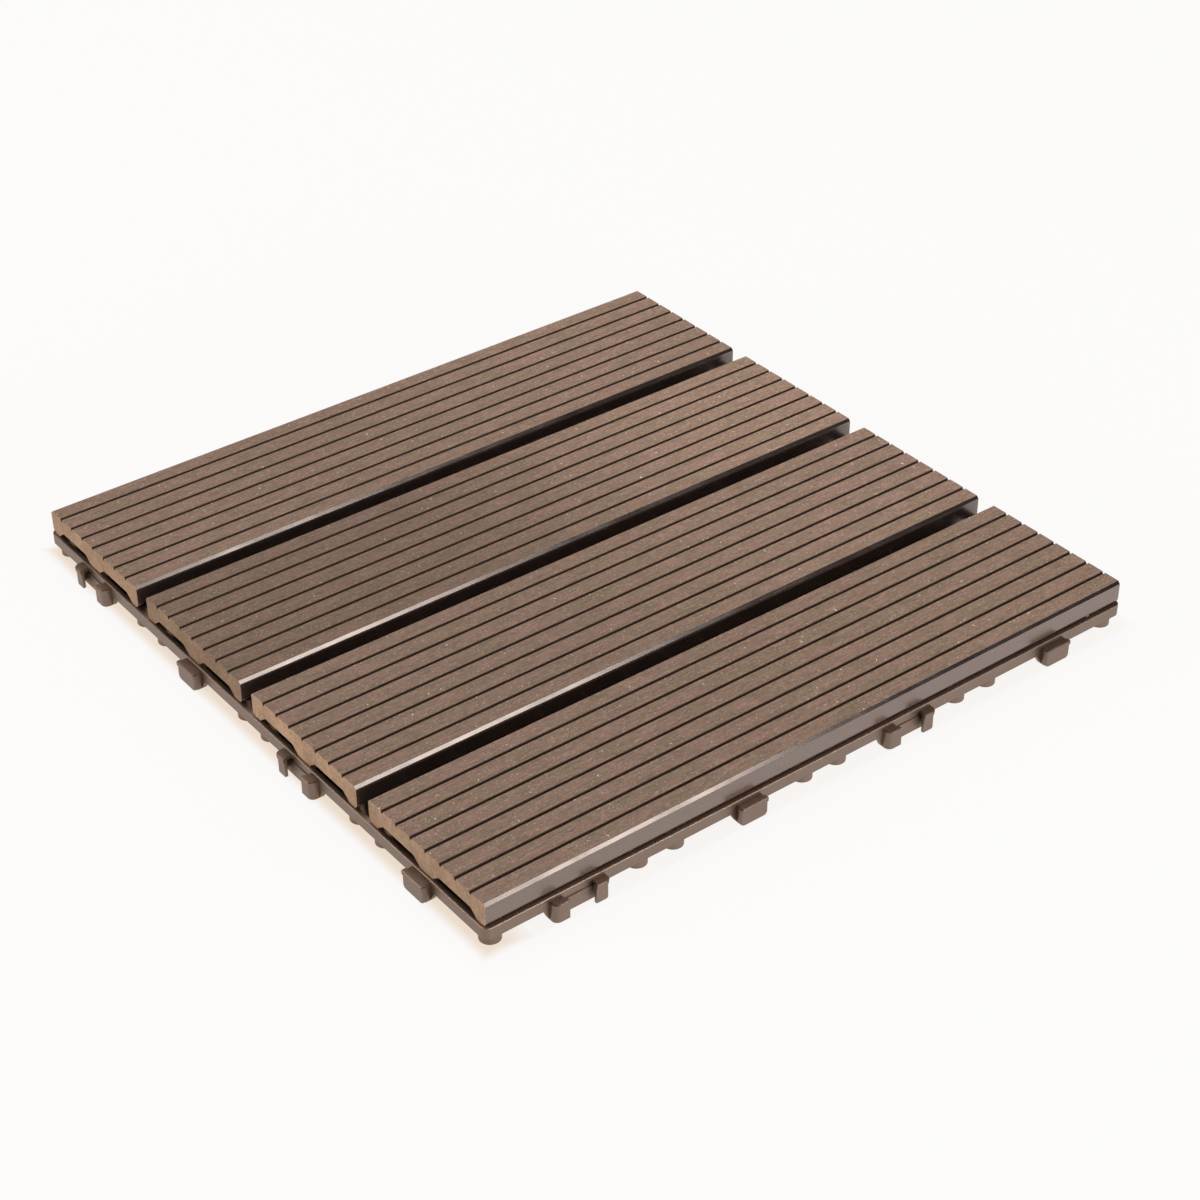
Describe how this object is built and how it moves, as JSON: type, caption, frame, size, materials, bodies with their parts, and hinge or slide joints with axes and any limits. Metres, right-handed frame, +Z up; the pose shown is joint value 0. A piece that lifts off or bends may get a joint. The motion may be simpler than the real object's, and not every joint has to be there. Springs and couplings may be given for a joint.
{
  "type": "interlocking deck tile",
  "caption": "Square deck tile: grooved wood-plastic slats screwed to a moulded lattice base on round feet, with T-shaped snap-in tabs and slotted pegs on its edges.",
  "frame": {"origin": "on the ground under the middle of the tile, level with the underside of the feet", "axes": "+X along the slats, +Y across them from the front side to the back, +Z up through the tread"},
  "size_m": [0.3078, 0.3078, 0.0193],
  "materials": {
    "base_plastic": "dark brown moulded polypropylene, satin",
    "slat_composite": "brushed grey-brown wood-plastic composite",
    "screw_steel": "plated steel"
  },
  "bodies": {
    "root": {"base_grid": "base_plastic", "deck_slat_1": "slat_composite", "deck_slat_2": "slat_composite", "deck_slat_3": "slat_composite", "deck_slat_4": "slat_composite", "slat_screws": "screw_steel"}
  },
  "joints": []
}
